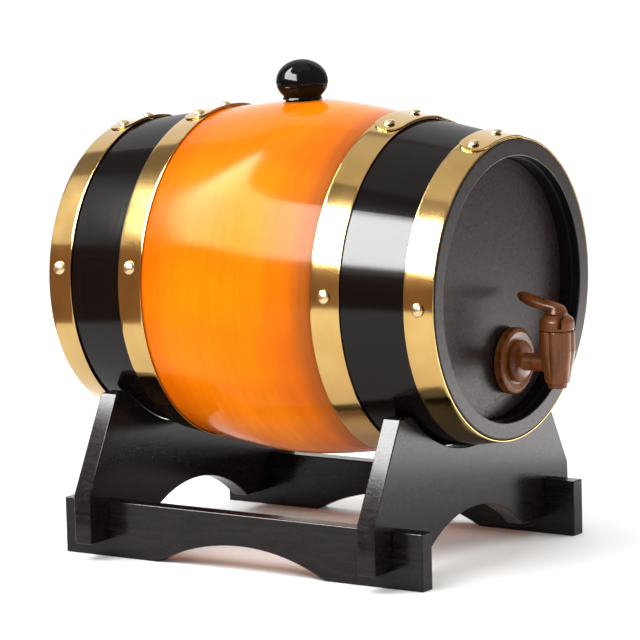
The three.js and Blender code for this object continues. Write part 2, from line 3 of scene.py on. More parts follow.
import bmesh
import bpy
from mathutils import Matrix, Vector


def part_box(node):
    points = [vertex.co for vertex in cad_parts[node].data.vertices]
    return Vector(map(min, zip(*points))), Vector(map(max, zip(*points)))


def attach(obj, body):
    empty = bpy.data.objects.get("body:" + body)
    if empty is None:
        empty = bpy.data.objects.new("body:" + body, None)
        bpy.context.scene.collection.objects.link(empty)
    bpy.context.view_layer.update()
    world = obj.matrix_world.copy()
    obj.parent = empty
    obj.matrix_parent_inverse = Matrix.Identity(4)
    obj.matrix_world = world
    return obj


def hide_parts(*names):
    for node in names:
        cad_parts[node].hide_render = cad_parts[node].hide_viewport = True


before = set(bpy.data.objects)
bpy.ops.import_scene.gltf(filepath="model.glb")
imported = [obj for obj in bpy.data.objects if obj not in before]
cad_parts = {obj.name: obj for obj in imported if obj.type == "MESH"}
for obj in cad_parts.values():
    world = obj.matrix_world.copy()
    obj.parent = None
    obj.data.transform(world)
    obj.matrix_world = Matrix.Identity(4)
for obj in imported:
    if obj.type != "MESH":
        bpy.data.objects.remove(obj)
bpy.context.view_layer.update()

# A small oak barrel for wine on its stand. Shapes are drawn in millimetres and made in metres.
MM = 0.001
TURN = 2 * pi
SHARP_ANGLE = radians(38)

# ---- Places, read from the frame, in millimetres ----


def low(node):
    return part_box(node)[0] / MM


def high(node):
    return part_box(node)[1] / MM


def centre(node):
    return (low(node) + high(node)) / 2


def size(node):
    return high(node) - low(node)


BARREL_Y = centre("stave_09").y
AXIS_Z = centre("rear_head").z
BELLY_RADIUS = AXIS_Z - low("stave_09").z
HALF_LENGTH = size("stave_09").y / 2
HEAD_FACE = high("rear_head").y - BARREL_Y
HEAD_THICKNESS = size("rear_head").y
HOOP_WIDTH = 17
HOOPS = ("front_chime", "front_bilge", "rear_bilge", "rear_chime")
LAP_TURNS = dict(zip(HOOPS, map(radians, (-4, -2, -0.5, -0.5))))
BUNG = centre("bung_plug")
TAP = centre("tap_flange")
KEY_Y = centre("tap_key").y
STAVE_COUNT = 16

# ---- Shape sizes that the frame's boxes don't give ----

END_RADIUS = 83.2
CROWN_SPAN = 22
STAVE_THICKNESS = 9.5
STAVE_JOINT = 0.004  # half of the hairline between two staves
CHIME_RADIUS = 73.9
CHIME_DEPTH = 5
LEDGE_RADIUS = 72.9
CROZE_RADIUS = 75.4
HEAD_RADIUS = 72.7
HEAD_RIM_RADIUS = 75.1
HEAD_TONGUE = 3
LEDGE_BEHIND_HEAD = 1  # the ledge ends here
SLOPE_BEHIND_HEAD = 6  # and the staves reach their full thickness here

HOOP_THICKNESS = 0.9
HOOP_LIFT = 0.3
LAP_START = radians(-17.3)
LAP_END = radians(10)
LAP_RAMP = radians(6)
LAP_UNDER = radians(9)  # where the strip's inner end lies under the lap
RIVET_ANGLES = (radians(-12.3), radians(4))
SHANK_RADIUS = 1.5
RIVET_HEAD = (3.3, 2.0)  # radius and height
NAIL_HEAD = (3.8, 2.2)
NAIL_TIP = -6.6  # under the staves' surface
NAIL_HOLE_FOOT = -6.8

BUNG_GIRTH = 0.45  # share of the knob's height where it is widest
BUNG_HOLE_RADII = (8.5, 9.9)  # at its foot and above the staves
BUNG_PLUG_RADII = (8.4, 9.6)
DOWEL_RADIUS = 3.5
SOCKET_RADIUS = 3.8
SOCKET_DEPTH = 9.4

STUD_BORE = 6.2  # round the tap's stud
STUD_RADIUS = 6
SEAL_RADIUS = 16.5
NUT_RADIUS = 12
BOSS_RADIUS = 11.8
TAP_SHANK_RADIUS = 4.9
CHANNEL_RADIUS = 2.6
TAP_TOP = 19  # heights on the tap count from the shank's axis
TAP_TOP_RADIUS = 10.1
TAP_FOOT = -10
TAP_FOOT_RADIUS = 7
NOZZLE_BOTTOM = -13.3
NOZZLE_RADIUS = 5.6
KEY_BORE_RADIUS = 5.15
KEY_BORE_FOOT = -7
KEY_RADIUS = 5
KEY_TIP = -6.7
KEY_FOOT = 19.25
SLIT_WIDTH = 2.0
SLIT_OFFSET = 5.9
HANDLE_LENGTH = 30.2
HANDLE_TILT = radians(13)
PEG_RADIUS = 2

RAIL_ARCH = (112.8, 14.1)  # span and rise
RAIL_SLOT = 21.1  # height of the floor of the slots
CRADLE_ARCH = (106, 20.2)
CRADLE_SLOT = 21.2
CRADLE_BOTTOM = 9.9
CRADLE_KINK = 37.7
CRADLE_TOP_HALF = 75.8
SLOT_GAP = 0.1
STAND_EASE = 0.7  # how far the boards' edges are eased

# ---- Outlines ----


def arc_between(start, end, middle, steps):
    """Points on the shorter arc from start to end about middle."""
    first = atan2(start.y - middle.y, start.x - middle.x)
    turn = atan2(end.y - middle.y, end.x - middle.x) - first
    turn = (turn + pi) % TURN - pi
    radius = (start - middle).length
    angles = [first + turn * i / steps for i in range(steps + 1)]
    return [(middle.x + radius * cos(a), middle.y + radius * sin(a)) for a in angles]


def rounded(points, radius, steps=4, closed=True):
    """The outline with its corners rounded. A corner can bring its own radius as a third value."""
    made = []
    for i, point in enumerate(points):
        corner = Vector(point[:2])
        wanted = point[2] if len(point) > 2 else radius
        at_end = not closed and i in (0, len(points) - 1)
        if at_end or wanted == 0:
            made.append(tuple(corner))
            continue
        before = Vector(points[i - 1][:2]) - corner
        after = Vector(points[(i + 1) % len(points)][:2]) - corner
        half = before.angle(after) / 2
        reach = min(wanted / tan(half), before.length * 0.45, after.length * 0.45)
        before.normalize()
        after.normalize()
        middle = corner + (before + after).normalized() * reach / cos(half)
        start = corner + before * reach
        end = corner + after * reach
        # A point just outside each end of the arc keeps the flat beside it flat.
        made.append(tuple(start + before * reach * 0.08))
        made.extend(arc_between(start, end, middle, steps))
        made.append(tuple(end + after * reach * 0.08))
    return made


def arch(span, rise, base, steps=24):
    """Points from (-span / 2, base) over (0, base + rise) to (span / 2, base)."""
    radius = (span * span / 4 + rise * rise) / (2 * rise)
    sweep = asin(span / 2 / radius)
    turns = [sweep * (2 * i / steps - 1) for i in range(steps + 1)]
    return [(radius * sin(t), base + rise - radius + radius * cos(t)) for t in turns]


# ---- Meshes ----


def to_object(name, bm, matrix=None):
    """Turns a bmesh in millimetres into an object in metres, with sharp edges kept sharp."""
    bmesh.ops.recalc_face_normals(bm, faces=bm.faces)
    if matrix is not None:
        bm.transform(matrix)
    bm.transform(Matrix.Scale(MM, 4))
    mark_sharp(bm)
    mesh = bpy.data.meshes.new(name)
    bm.to_mesh(mesh)
    bm.free()
    made = bpy.data.objects.new(name, mesh)
    bpy.context.scene.collection.objects.link(made)
    return made


def mark_sharp(bm):
    for face in bm.faces:
        face.smooth = True
    for edge in bm.edges:
        edge.smooth = edge.calc_face_angle(0) < SHARP_ANGLE


def lathe(outline, steps=96, span=(0, TURN), wave=None, closed=True):
    """Turns an outline of (radius, height) points about Z. wave(angle, point) scales the radius."""
    bm = bmesh.new()
    uv = bm.loops.layers.uv.new("UVMap")
    whole = span[1] - span[0] > TURN - 1e-6
    girth = max(point[0] for point in outline)
    angles = [span[0] + (span[1] - span[0]) * i / steps for i in range(steps + 1)]
    poles = {j: bm.verts.new((0, 0, p[1])) for j, p in enumerate(outline) if p[0] < 1e-6}
    rings = []
    for i in range(steps if whole else steps + 1):
        scale = [wave(angles[i], p) if wave else 1 for p in outline]
        place = (cos(angles[i]), sin(angles[i]))
        rings.append([
            poles.get(j) or bm.verts.new((p[0] * scale[j] * place[0], p[0] * scale[j] * place[1], p[1]))
            for j, p in enumerate(outline)
        ])
    along = [0]
    for j in range(len(outline)):
        following = outline[(j + 1) % len(outline)]
        along.append(along[-1] + hypot(following[0] - outline[j][0], following[1] - outline[j][1]))
    for i in range(steps):
        ring, beyond = rings[i], rings[(i + 1) % len(rings)]
        for j in range(len(outline) if closed else len(outline) - 1):
            k = (j + 1) % len(outline)
            corners = [
                (ring[j], i, j), (beyond[j], i + 1, j),
                (beyond[k], i + 1, j + 1), (ring[k], i, j + 1),
            ]
            kept = [c for n, c in enumerate(corners) if c[0] not in [d[0] for d in corners[:n]]]
            if len(kept) < 3:
                continue
            face = bm.faces.new([c[0] for c in kept])
            for loop, (_, step, point) in zip(face.loops, kept):
                loop[uv].uv = (angles[step] * girth * MM, along[point] * MM)
    if not whole:
        bm.faces.new(rings[0])
        bm.faces.new(rings[-1])
    return bm


def extrude(outline, thickness):
    """A board: an outline of (across, up) points in X and Z, centred on Y = 0."""
    bm = bmesh.new()
    faces = []
    for y in (-thickness / 2, thickness / 2):
        faces.append(bm.faces.new([bm.verts.new((x, y, z)) for x, z in outline]))
    near, far = list(faces[0].verts), list(faces[1].verts)
    for i in range(len(near)):
        k = (i + 1) % len(near)
        bm.faces.new((near[i], near[k], far[k], far[i]))
    return bm


def rod(radius, start, end, steps=32):
    return lathe([(0, start), (radius, start), (radius, end), (0, end)], steps, closed=False)


def brick(width, depth, height):
    bm = bmesh.new()
    bmesh.ops.create_cube(bm, size=1)
    bm.transform(Matrix.Diagonal((width, depth, height, 1)))
    return bm


def bake(obj):
    """Replaces an object's mesh by what its modifiers make of it."""
    graph = bpy.context.evaluated_depsgraph_get()
    made = bpy.data.meshes.new_from_object(obj.evaluated_get(graph))
    obj.modifiers.clear()
    obj.data = made
    bm = bmesh.new()
    bm.from_mesh(made)
    bmesh.ops.remove_doubles(bm, verts=bm.verts, dist=1e-7)
    mark_sharp(bm)
    bm.to_mesh(made)
    bm.free()
    return obj


def combine(obj, tools, operation="DIFFERENCE", solver="EXACT"):
    """Cuts or joins other objects into this one, and removes them.

    The MANIFOLD solver is for a piece with several cuts that cross each other.
    """
    for tool in tools:
        modifier = obj.modifiers.new(operation, "BOOLEAN")
        modifier.operation = operation
        modifier.solver = solver
        modifier.object = tool
    bpy.context.view_layer.update()
    bake(obj)
    for tool in tools:
        bpy.data.objects.remove(tool)
    return obj


def bevelled(obj, width, segments=3):
    modifier = obj.modifiers.new("Bevel", "BEVEL")
    modifier.width = width * MM
    modifier.segments = segments
    modifier.limit_method = "ANGLE"
    modifier.angle_limit = radians(30)
    modifier.harden_normals = True
    return obj


def finished(obj, body, slot, *nodes):
    """Names what a piece rides on and hides the nodes that it stands for. The material slot is not used.
    """
    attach(obj, body)
    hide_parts(*nodes)
    return obj


# Turning about Z becomes turning about the barrel's axis, with angle 0 at the top and +X next.
ALONG_BARREL = Matrix(((0, 1, 0, 0), (0, 0, 1, 0), (1, 0, 0, 0), (0, 0, 0, 1)))
BARREL = Matrix.Translation((0, BARREL_Y, AXIS_Z)) @ ALONG_BARREL

# ---- Materials ----


class Look:
    """A material under construction: adds nodes, links them and sets the shader's own sockets."""

    def __init__(self, name, roughness, metallic=0.0, coat=0.0, coat_roughness=0.03, specular=0.5):
        self.material = bpy.data.materials.new(name)
        self.material.use_nodes = True
        self.tree = self.material.node_tree
        self.shader = self.tree.nodes["Principled BSDF"]
        self.set(Roughness=roughness, Metallic=metallic)
        self.shader.inputs["Coat Weight"].default_value = coat
        self.shader.inputs["Coat Roughness"].default_value = coat_roughness
        self.shader.inputs["Specular IOR Level"].default_value = specular

    def set(self, **values):
        for name, value in values.items():
            self.shader.inputs[name.replace("_", " ")].default_value = value

    def node(self, kind, **inputs):
        made = self.tree.nodes.new(kind)
        for name, value in inputs.items():
            socket = made.inputs[name.replace("_", " ")]
            if isinstance(value, bpy.types.NodeSocket):
                self.tree.links.new(value, socket)
            else:
                socket.default_value = value
        return made

    def coordinates(self, kind="Object", stretch=(1, 1, 1)):
        source = self.node("ShaderNodeTexCoord").outputs[kind]
        return self.node("ShaderNodeMapping", Vector=source, Scale=stretch).outputs[0]

    def noise(self, where, scale, detail=3.0, roughness=0.5):
        kind = "ShaderNodeTexNoise"
        made = self.node(kind, Vector=where, Scale=scale, Detail=detail, Roughness=roughness)
        return made.outputs["Fac"]

    def ramp(self, value, stops):
        made = self.node("ShaderNodeValToRGB", Fac=value)
        elements = made.color_ramp.elements
        while len(elements) < len(stops):
            elements.new(0.5)
        for element, (position, colour) in zip(elements, stops):
            element.position = position
            element.color = (*colour, 1)
        made.color_ramp.interpolation = "EASE"
        return made.outputs[0]

    def spread(self, value, start, end, low_value, high_value):
        made = self.node("ShaderNodeMapRange", Value=value)
        limits = {"From Min": start, "From Max": end, "To Min": low_value, "To Max": high_value}
        for name, number in limits.items():
            made.inputs[name].default_value = number
        return made.outputs[0]

    def times(self, colour, value):
        made = self.node("ShaderNodeMix")
        made.data_type = "RGBA"
        made.blend_type = "MULTIPLY"
        made.inputs["Factor"].default_value = 1
        self.tree.links.new(colour, made.inputs[6])
        self.tree.links.new(value, made.inputs[7])
        return made.outputs[2]

    def colour(self, socket):
        self.tree.links.new(socket, self.shader.inputs["Base Color"])

    def rough(self, socket):
        self.tree.links.new(socket, self.shader.inputs["Roughness"])

    def bump(self, height, depth, strength=1.0, into=("Normal",)):
        made = self.node("ShaderNodeBump", Height=height, Distance=depth * MM, Strength=strength)
        for name in into:
            self.tree.links.new(made.outputs[0], self.shader.inputs[name])


def amber_lacquer():
    """Amber between the bilge hoops, darkened to brown towards the front one by painted shade, and black
    under both.
    """
    look = Look("amber_lacquer", roughness=0.13, specular=0.065)
    where = look.node("ShaderNodeSeparateXYZ", Vector=look.coordinates())
    reach = 70 * MM
    middle = BARREL_Y * MM
    along = look.spread(where.outputs["Y"], middle - reach, middle + reach, 0, 1)
    black = (0.004, 0.003, 0.003)
    brown = (0.20, 0.05, 0.004)
    painted_shade_amber = (0.42, 0.105, 0.012)
    deep = (0.74, 0.16, 0.002)
    bright = (0.86, 0.215, 0.002)
    # On the front side the extra dark amber stop between brown and deep is painted shade: it darkens the
    # amber towards the front hoop.
    amber = look.ramp(along, [
        (0.05, black), (0.085, brown), (0.13, painted_shade_amber), (0.22, deep), (0.38, bright),
        (0.72, bright), (0.90, deep), (0.935, brown), (0.96, black),
    ])
    grain = look.noise(look.coordinates("UV", (26, 240, 1)), 1.0, 5.0)
    figure = look.noise(look.coordinates(stretch=(1, 0.35, 1)), 16.0, 2.0)
    fine = look.ramp(grain, [(0.3, (0.93, 0.9, 0.85)), (0.7, (1, 1, 1))])
    broad = look.ramp(figure, [(0.35, (0.86, 0.74, 0.7)), (0.62, (1, 1, 1))])
    look.colour(look.times(look.times(amber, fine), broad))
    gloss = look.ramp(along, [(0.15, (1, 0.93, 0.85)), (0.45, (1, 0.8, 0.16)), (0.9, (1, 0.8, 0.14))])
    look.tree.links.new(gloss, look.shader.inputs["Specular Tint"])
    look.bump(look.noise(look.coordinates(), 60.0, 2.0), 0.02, 0.4)
    return look.material


def black_lacquer():
    """Gloss black with the fine rings that turning and sanding leave under it."""
    look = Look("black_lacquer", roughness=0.4, coat=0.36, coat_roughness=0.12, specular=0.0)
    rings = look.noise(look.coordinates("UV", (14, 1500, 1)), 1.0, 3.0)
    look.colour(look.ramp(rings, [(0.3, (0.002, 0.001, 0.001)), (0.75, (0.004, 0.002, 0.002))]))
    look.bump(rings, 0.03, 0.8, into=("Normal", "Coat Normal"))
    return look.material


def satin_stain(name, dark, light, roughness, specular=0.5):
    """Stained wood under a thin satin coat: pores and a fine speckle show in the highlights."""
    look = Look(name, roughness=roughness, specular=specular)
    along = look.noise(look.coordinates(stretch=(1, 0.12, 1)), 420.0, 4.0)
    speckle = look.noise(look.coordinates(), 900.0, 2.0)
    look.colour(look.ramp(along, [(0.35, dark), (0.7, light)]))
    look.rough(look.spread(speckle, 0.3, 0.7, roughness - 0.07, roughness + 0.07))
    look.bump(speckle, 0.03, 0.35)
    return look.material


def raw_oak():
    look = Look("raw_oak", roughness=0.75)
    along = look.noise(look.coordinates("UV", (300, 30, 1)), 1.0, 5.0)
    look.colour(look.ramp(along, [
        (0.3, (0.16, 0.075, 0.03)), (0.55, (0.3, 0.16, 0.07)), (0.75, (0.4, 0.24, 0.12)),
    ]))
    look.bump(along, 0.15, 0.5)
    return look.material


def brass(name, colour, roughness):
    """Polished brass strip with faint rolling lines along it and uneven tarnish."""
    look = Look(name, roughness=roughness, metallic=1.0)
    rolled = look.noise(look.coordinates("UV", (9, 2200, 1)), 1.0, 2.0)
    patches = look.noise(look.coordinates(), 35.0, 3.0)
    dull = tuple(channel * shade for channel, shade in zip(colour, (0.9, 0.87, 0.8)))
    look.colour(look.ramp(patches, [(0.35, dull), (0.65, colour)]))
    look.rough(look.spread(patches, 0.3, 0.7, roughness * 0.8, roughness * 1.3))
    look.bump(rolled, 0.004, 0.5)
    return look.material


def bung_lacquer():
    look = Look("bung_lacquer", roughness=0.35, coat=0.25, coat_roughness=0.09, specular=0.0)
    cloud = look.noise(look.coordinates(), 120.0, 3.0)
    look.colour(look.ramp(cloud, [(0.3, (0.002, 0.002, 0.002)), (0.7, (0.005, 0.004, 0.004))]))
    look.bump(cloud, 0.03, 0.3, into=("Normal", "Coat Normal"))
    return look.material


def tap_plastic():
    """Brown moulded plastic with the slow swirls of its colour and a light orange peel."""
    look = Look("tap_plastic", roughness=0.27, specular=0.26)
    swirl = look.noise(look.coordinates(stretch=(1, 1, 0.5)), 140.0, 3.0)
    peel = look.noise(look.coordinates(), 1300.0, 2.0)
    look.colour(look.ramp(swirl, [(0.3, (0.075, 0.019, 0.004)), (0.7, (0.175, 0.053, 0.010))]))
    look.rough(look.spread(swirl, 0.3, 0.7, 0.24, 0.36))
    look.bump(peel, 0.03, 0.3)
    return look.material


def rubber():
    look = Look("rubber", roughness=0.8)
    grains = look.noise(look.coordinates(), 2000.0, 2.0)
    look.colour(look.ramp(grains, [(0.3, (0.012, 0.012, 0.012)), (0.7, (0.03, 0.03, 0.03))]))
    look.bump(grains, 0.03, 0.4)
    return look.material


AMBER = amber_lacquer()
BLACK = black_lacquer()
CHIME = satin_stain("chime_stain", (0.012, 0.009, 0.009), (0.024, 0.018, 0.017), 0.36, specular=0.24)
HEAD = satin_stain("head_stain", (0.011, 0.006, 0.006), (0.022, 0.015, 0.014), 0.33, specular=0.17)
# The recess walls in front of the heads get a near-black stain, far darker than the chime and head stains:
# painted shade.
RECESS_PAINTED_SHADE = satin_stain("recess_painted_shade", (0.002, 0.001, 0.001), (0.004, 0.003, 0.003), 0.5, specular=0.15)
STAND = satin_stain("stand_stain", (0.004, 0.003, 0.003), (0.011, 0.007, 0.008), 0.21, specular=0.18)
OAK = raw_oak()
HOOP_BRASS = brass("hoop_brass", (0.47, 0.31, 0.112), 0.11)
NAIL_BRASS = brass("nail_brass", (0.55, 0.44, 0.26), 0.22)
BUNG_BLACK = bung_lacquer()
TAP_BROWN = tap_plastic()
RUBBER = rubber()

# ---- Staves ----


def stave_radius(y):
    """Outside radius at a distance from mid-length: round at the belly, nearly straight at the ends."""
    fall = (hypot(1, y / CROWN_SPAN) - 1) / (hypot(1, HALF_LENGTH / CROWN_SPAN) - 1)
    return BELLY_RADIUS - (BELLY_RADIUS - END_RADIUS) * fall


def steps_along(reach, count):
    limit = asinh(reach / CROWN_SPAN)
    return [CROWN_SPAN * sinh(limit * (2 * i / count - 1)) for i in range(count + 1)]


def stave_outline():
    """Closed outline of (radius, distance from mid-length), with eased edges at the chimes."""
    groove = HEAD_FACE - HEAD_THICKNESS / 2
    tongue = HEAD_TONGUE / 2 + 0.1
    slope_start = HEAD_FACE - HEAD_THICKNESS - SLOPE_BEHIND_HEAD
    end = [
        (stave_radius(HALF_LENGTH), HALF_LENGTH, 1.0),
        (CHIME_RADIUS, HALF_LENGTH, 0.5),
        (CHIME_RADIUS, HALF_LENGTH - CHIME_DEPTH, 0.2),
        (LEDGE_RADIUS, HALF_LENGTH - CHIME_DEPTH, 0.25),
        (LEDGE_RADIUS, groove + tongue, 0),
        (CROZE_RADIUS, groove + tongue, 0),
        (CROZE_RADIUS, groove - tongue, 0),
        (LEDGE_RADIUS, groove - tongue, 0),
        (LEDGE_RADIUS, HEAD_FACE - HEAD_THICKNESS - LEDGE_BEHIND_HEAD, 0),
    ]
    outside = [(stave_radius(y), y, 0) for y in steps_along(HALF_LENGTH - 2, 44)]
    inside = [(stave_radius(y) - STAVE_THICKNESS, y, 0) for y in steps_along(slope_start, 20)]
    far_end = [(radius, -y, eased) for radius, y, eased in reversed(end)]
    return rounded(outside + end + inside[::-1] + far_end, 0, 3)


def paint_stave(obj):
    """Amber between the bilge hoops, black outside them, satin at the chimes, painted shade on the recess
    walls in front of the heads and bare oak inside.
    """
    for material in (AMBER, BLACK, CHIME, OAK, RECESS_PAINTED_SHADE):
        obj.data.materials.append(material)
    bilge = abs(centre("rear_bilge_hoop").y - BARREL_Y)
    skin = 1.2
    chime_rim = 0.9
    for face in obj.data.polygons:
        spot = face.center / MM - Vector((0, BARREL_Y, AXIS_Z))
        radius = hypot(spot.x, spot.z)
        distance = abs(spot.y)
        if radius > stave_radius(spot.y) - skin and distance < HALF_LENGTH - skin:
            face.material_index = 0 if distance < bilge else 1
        elif distance > HALF_LENGTH - chime_rim:
            face.material_index = 2
        # The recess wall in front of each head gets the near-black painted shade.
        elif distance > HEAD_FACE - 1:
            face.material_index = 4
        else:
            face.material_index = 3


def fastener_matrix(angle, middle):
    """Stands a piece turned about Z square on the hoop, at an angle from the top towards +X."""
    rise = stave_radius(middle + HOOP_WIDTH / 2) - stave_radius(middle - HOOP_WIDTH / 2)
    tilt = Matrix.Rotation(-atan(rise / HOOP_WIDTH), 4, "Y")
    place = Matrix.Translation((stave_radius(middle), 0, middle))
    outward = Matrix.Rotation(pi / 2, 4, "Y")
    return BARREL @ Matrix.Rotation(angle, 4, "Z") @ place @ tilt @ outward


def hoop_middle(name):
    """Distance of a hoop's middle from the barrel's mid-length."""
    return (low(f"{name}_hoop").y + high(f"{name}_hoop").y) / 2 - BARREL_Y


def nail_angle(name, side):
    """Where a nail stands on its hoop, from the top towards +X."""
    spot = centre(f"{name}_nail_{side}")
    return atan2(spot.x, spot.z - AXIS_Z)


def fastener_hole(angle, middle, start):
    return to_object("hole", rod(SHANK_RADIUS + 0.05, start, 6, 20), fastener_matrix(angle, middle))


def bung_hole():
    top = BELLY_RADIUS + 2
    foot_radius, top_radius = BUNG_HOLE_RADII
    outline = [(0, 60), (foot_radius, 60), (foot_radius, 74), (top_radius, top), (0, top)]
    place = Matrix.Translation((BUNG.x, BUNG.y, AXIS_Z))
    return to_object("hole", lathe(outline, 64, closed=False), place)


def make_staves():
    outline = stave_outline()
    half = TURN / STAVE_COUNT / 2
    shrink = atan(STAVE_JOINT / BELLY_RADIUS)
    for i in range(STAVE_COUNT):
        node = f"stave_{i + 1:02d}"
        angle = i * TURN / STAVE_COUNT
        span = (angle - half + shrink, angle + half - shrink)
        stave = to_object(f"{node}_fine", lathe(outline, 16, span), BARREL)
        if i == 0:
            combine(stave, [bung_hole()])
        if i in (STAVE_COUNT // 4, STAVE_COUNT * 3 // 4):
            side = "right" if i == STAVE_COUNT // 4 else "left"
            spots = [(nail_angle(name, side), hoop_middle(name)) for name in HOOPS]
            combine(stave, [fastener_hole(*spot, NAIL_HOLE_FOOT) for spot in spots])
        paint_stave(stave)
        finished(stave, "barrel", "oak_lacquer", node)


# ---- Heads ----


def make_heads():
    half = HEAD_THICKNESS / 2
    tongue = HEAD_TONGUE / 2
    outline = rounded([
        (0, -half), (HEAD_RADIUS, -half, 0.5), (HEAD_RADIUS, -tongue, 0.2),
        (HEAD_RIM_RADIUS, -tongue, 0.5), (HEAD_RIM_RADIUS, tongue, 0.5),
        (HEAD_RADIUS, tongue, 0.2), (HEAD_RADIUS, half, 0.5), (0, half),
    ], 0.3, closed=False)
    for node in ("front_head", "rear_head"):
        place = Matrix.Translation((0, centre(node).y, AXIS_Z)) @ ALONG_BARREL
        head = to_object(f"{node}_fine", lathe(outline, 192, closed=False), place)
        if node == "front_head":
            through = Matrix.Translation((TAP.x, 0, TAP.z)) @ ALONG_BARREL
            bore = rod(STUD_BORE, low(node).y - 5, high(node).y + 5, 48)
            combine(head, [to_object("hole", bore, through)])
        head.data.materials.append(HEAD)
        finished(head, "barrel", "head_stain", node)


# ---- Hoops ----


def strip_section(half_width, thickness, edge=0.22, across=12):
    """Outline of the strip's section as (across, height): flat faces in even steps, round edges."""
    edge = min(edge, half_width * 0.6)
    corners = [(-half_width, 0), (half_width, 0), (half_width, thickness), (-half_width, thickness)]
    arcs = []
    for (x, z), first in zip(corners, (pi, 1.5 * pi, 0, 0.5 * pi)):
        middle = Vector((x - edge * (1 if x > 0 else -1), z + edge * (1 if z == 0 else -1)))
        arcs.append([(middle.x + edge * cos(first + a), middle.y + edge * sin(first + a))
                     for a in (0, pi / 6, pi / 3, pi / 2)])
    flat = half_width - edge
    inner = [flat * (2 * i / across - 1) for i in range(1, across)]
    under = [(x, 0) for x in inner]
    over = [(x, thickness) for x in reversed(inner)]
    return arcs[0] + under + arcs[1] + arcs[2] + over + arcs[3]


def strip_lift(angle):
    """Height of the strip's underside over the staves: on top of itself at the lap, then down."""
    above = HOOP_LIFT + HOOP_THICKNESS + 0.02
    ramp = min(max((angle - LAP_END) / LAP_RAMP, 0), 1)
    ease = ramp * ramp * (3 - 2 * ramp)
    return above + (HOOP_LIFT - above) * ease


def hoop_mesh(middle):
    """A riveted strip bent round the staves, with a round tongue at its outer end."""
    half = HOOP_WIDTH / 2
    radius = stave_radius(middle)
    near = stave_radius(middle - half)
    far = stave_radius(middle + half)
    turns = [pi / 2 * i / 14 for i in range(1, 15)]
    tongue = [(half * (1 - cos(t)) / radius, half * sin(t)) for t in turns]
    stations = [(LAP_START + turn, width) for turn, width in tongue]
    begin = stations[-1][0]
    count = 300
    whole = TURN + LAP_UNDER - begin
    stations += [(begin + whole * i / count, half) for i in range(1, count + 1)]
    bm = bmesh.new()
    uv = bm.loops.layers.uv.new("UVMap")
    rings = []
    for angle, width in stations:
        lift = strip_lift(angle)
        ring = []
        for x, z in strip_section(width, HOOP_THICKNESS):
            share = (x + half) / HOOP_WIDTH
            distance = near + (far - near) * share + lift + z
            ring.append(bm.verts.new((distance * cos(angle), distance * sin(angle), middle + x)))
        rings.append(ring)
    for i in range(len(rings) - 1):
        for j in range(len(rings[i])):
            k = (j + 1) % len(rings[i])
            face = bm.faces.new((rings[i][j], rings[i + 1][j], rings[i + 1][k], rings[i][k]))
            for loop, step in zip(face.loops, (i, i + 1, i + 1, i)):
                loop[uv].uv = (stations[step][0] * radius * MM, loop.vert.co.z * MM)
    bm.faces.new(rings[0])
    bm.faces.new(rings[-1])
    return bm


def dome(radius, height, seat, tip):
    """A rivet or nail: its shank up to the seat and a full round head on it."""
    rim = 0.35  # height of the crown's foot
    turns = [pi / 2 * i / 12 for i in range(12)]
    crown = [(radius * cos(t), seat + rim + (height - rim) * sin(t)) for t in turns]
    return [
        (0, tip), (SHANK_RADIUS * 0.3, tip), (SHANK_RADIUS, tip + 1.2), (SHANK_RADIUS, seat),
        (radius - 0.25, seat), (radius, seat + 0.15), *crown, (0, seat + height),
    ]


def make_hoops():
    top = HOOP_LIFT + HOOP_THICKNESS
    rivet = dome(*RIVET_HEAD, top + HOOP_THICKNESS + 0.03, 0.4)
    nail = dome(*NAIL_HEAD, top + 0.03, NAIL_TIP)
    for name in HOOPS:
        middle = hoop_middle(name)
        lap_turn = Matrix.Rotation(LAP_TURNS[name], 4, "Z")
        hoop = to_object(f"{name}_hoop_fine", hoop_mesh(middle), BARREL @ lap_turn)
        rivets = [angle + LAP_TURNS[name] for angle in RIVET_ANGLES]
        nails = {side: nail_angle(name, side) for side in ("left", "right")}
        combine(hoop, [fastener_hole(angle, middle, -1) for angle in (*rivets, *nails.values())])
        hoop.data.materials.append(HOOP_BRASS)
        finished(hoop, "barrel", "hoop_brass", f"{name}_hoop")
        fasteners = [(f"{name}_rivet_{i + 1}", rivet, angle) for i, angle in enumerate(rivets)]
        fasteners += [(f"{name}_nail_{side}", nail, angle) for side, angle in nails.items()]
        for node, outline, angle in fasteners:
            turned = lathe(outline, 40, closed=False)
            head = to_object(f"{node}_fine", turned, fastener_matrix(angle, middle))
            head.data.materials.append(NAIL_BRASS)
            finished(head, "barrel", "hoop_brass", node)


# ---- Bung ----


